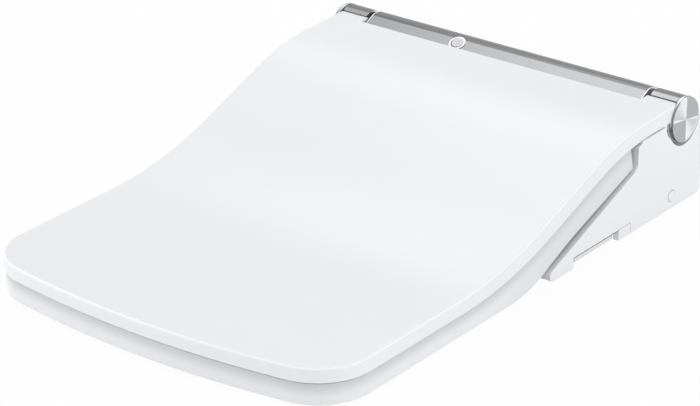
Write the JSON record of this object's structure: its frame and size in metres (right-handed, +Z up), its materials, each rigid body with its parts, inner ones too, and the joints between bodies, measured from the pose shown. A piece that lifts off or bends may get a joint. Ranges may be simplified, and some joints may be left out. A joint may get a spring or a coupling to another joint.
{
  "type": "electronic bidet seat",
  "caption": "Electronic bidet toilet seat with a curved soft-closing lid and ring seat, docking onto a bowl-bolted base plate.",
  "frame": {"origin": "midway between the two bowl bolts, on the plane that the unit stands on", "axes": "+X to the right seen from the front, -Y to the front of the seat, +Z up"},
  "size_m": [0.3832, 0.5495, 0.1047],
  "materials": {
    "gloss_white": "smooth gloss moulding",
    "white_plastic": "satin moulding",
    "silver_trim": "fine satin",
    "spun_aluminium": "spun",
    "dark_lens": "polished",
    "bumper_rubber": "matte",
    "grey_plastic": "moulded",
    "dark_plastic": "moulded",
    "nozzle_plastic": "smooth",
    "steel": "turned",
    "brass": "turned",
    "foil": "thin foil with heating wire",
    "circuit_board": "lacquered board"
  },
  "bodies": {
    "base": {"base_plate": "grey_plastic"},
    "housing": {"button_spring": "steel", "button_switch": "dark_plastic", "case_pillars": "white_plastic", "case_screws": "steel", "control_board": "circuit_board", "cord_gland": "bumper_rubber", "dryer_duct": "grey_plastic", "fan_case": "dark_plastic", "hinge_block_left": "grey_plastic", "hinge_block_right": "grey_plastic", "hinge_pin_left": "steel", "hinge_pin_right": "steel", "hinge_strip": "silver_trim", "inlet_valve": "grey_plastic", "lid_damper": "dark_plastic", "lower_case": "white_plastic", "nozzle_cradle": "grey_plastic", "nozzle_motor": "steel", "power_unit": "dark_plastic", "release_spring": "steel", "release_spring_seat": "grey_plastic", "seat_damper": "dark_plastic", "sensor_bezel": "silver_trim", "sensor_lens": "dark_lens", "side_cover_left": "white_plastic", "side_cover_right": "white_plastic", "strainer_body": "grey_plastic", "upper_case": "white_plastic", "water_heater": "dark_plastic", "water_inlet": "brass", "water_pump": "dark_plastic"},
    "seat": {"seat_top": "gloss_white", "seat_base": "white_plastic", "seat_heater": "foil", "seat_bumpers": "bumper_rubber"},
    "lid": {"lid_shell": "gloss_white", "lid_bumpers": "bumper_rubber", "hinge_sleeve_right": "silver_trim", "hinge_sleeve_left": "silver_trim", "end_disc_right": "spun_aluminium", "end_disc_left": "spun_aluminium"},
    "nozzle": {"nozzle_wand": "nozzle_plastic", "nozzle_tip": "nozzle_plastic"},
    "fan_rotor": {"fan_rotor": "dark_plastic"},
    "release_tab": {"release_tab": "white_plastic"},
    "side_button": {"side_button": "white_plastic"},
    "drain_plug": {"drain_plug": "grey_plastic"}
  },
  "joints": [
    {"name": "dock_slide", "type": "slide", "parent": "base", "child": "housing", "axis": [0, -1, 0], "range_m": [0, 0.04]},
    {"name": "seat_hinge", "type": "hinge", "parent": "housing", "child": "seat", "pos_m": [0, 0.035, 0.0832], "axis": [-1, 0, 0], "range_deg": [0, 97]},
    {"name": "lid_hinge", "type": "hinge", "parent": "seat", "child": "lid", "pos_m": [0, 0.035, 0.0832], "axis": [1, 0, 0], "range_deg": [-100, 0]},
    {"name": "nozzle_slide", "type": "slide", "parent": "housing", "child": "nozzle", "axis": [0, -0.9379, -0.3469], "range_m": [0, 0.095]},
    {"name": "fan_spin", "type": "hinge", "parent": "housing", "child": "fan_rotor", "pos_m": [-0.066, 0.005, 0.0345], "axis": [0, 0, 1], "continuous": true},
    {"name": "release_press", "type": "slide", "parent": "housing", "child": "release_tab", "axis": [-1, 0, 0], "range_m": [0, 0.004], "stiffness_N_per_m": 700, "springref_m": -0.002, "deforming": ["release_spring"]},
    {"name": "button_press", "type": "slide", "parent": "housing", "child": "side_button", "axis": [-1, 0, 0], "range_m": [0, 0.0015], "stiffness_N_per_m": 600, "springref_m": -0.001, "deforming": ["button_spring"]},
    {"name": "drain_turn", "type": "hinge", "parent": "housing", "child": "drain_plug", "pos_m": [-0.18, -0.031, 0.019], "axis": [-1, 0, 0], "range_deg": [0, 90]}
  ]
}
